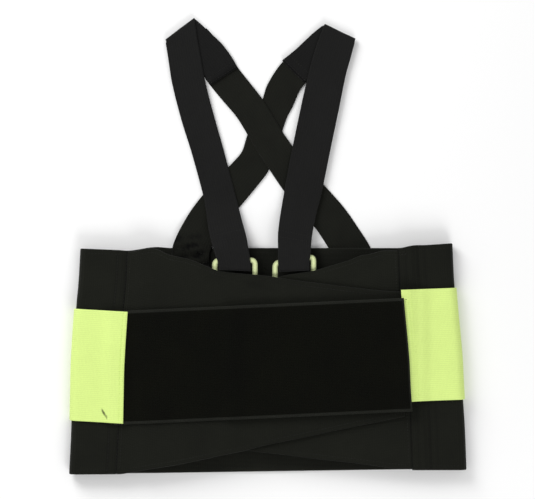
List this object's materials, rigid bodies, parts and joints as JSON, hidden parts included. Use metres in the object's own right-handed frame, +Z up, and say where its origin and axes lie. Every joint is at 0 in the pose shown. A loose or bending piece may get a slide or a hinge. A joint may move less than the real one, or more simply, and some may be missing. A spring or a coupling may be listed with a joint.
{
  "type": "lumbar lifting belt",
  "caption": "Elastic back-support belt for lifting, closed at the front by a wide hook-and-pile tab, with stretch side pulls and crossed suspenders, lying flat on its back.",
  "frame": {"origin": "on the surface that the belt lies on, under the middle of its bounding box", "axes": "+X across the belt towards the viewer's right, +Y from the belt towards the shoulder folds, +Z up through the closed front"},
  "size_m": [0.4, 0.4596, 0.0255],
  "materials": {
    "inner_elastic": "matte",
    "outer_elastic": "matte",
    "lime_elastic": "matte",
    "pile": "matte",
    "webbing": "matte"
  },
  "bodies": {
    "root": {"back_panel": "inner_elastic", "side_panel_left": "outer_elastic", "side_panel_right": "outer_elastic", "front_flap_left": "outer_elastic", "front_flap_right": "outer_elastic", "side_pull_left": "lime_elastic", "side_pull_right": "lime_elastic", "closure_tab_left": "pile", "closure_tab_right": "pile", "suspender_front_left": "webbing", "suspender_front_right": "webbing", "suspender_back_left": "webbing", "suspender_back_right": "webbing", "strap_loop_left": "lime_elastic", "strap_loop_right": "lime_elastic"}
  },
  "joints": []
}
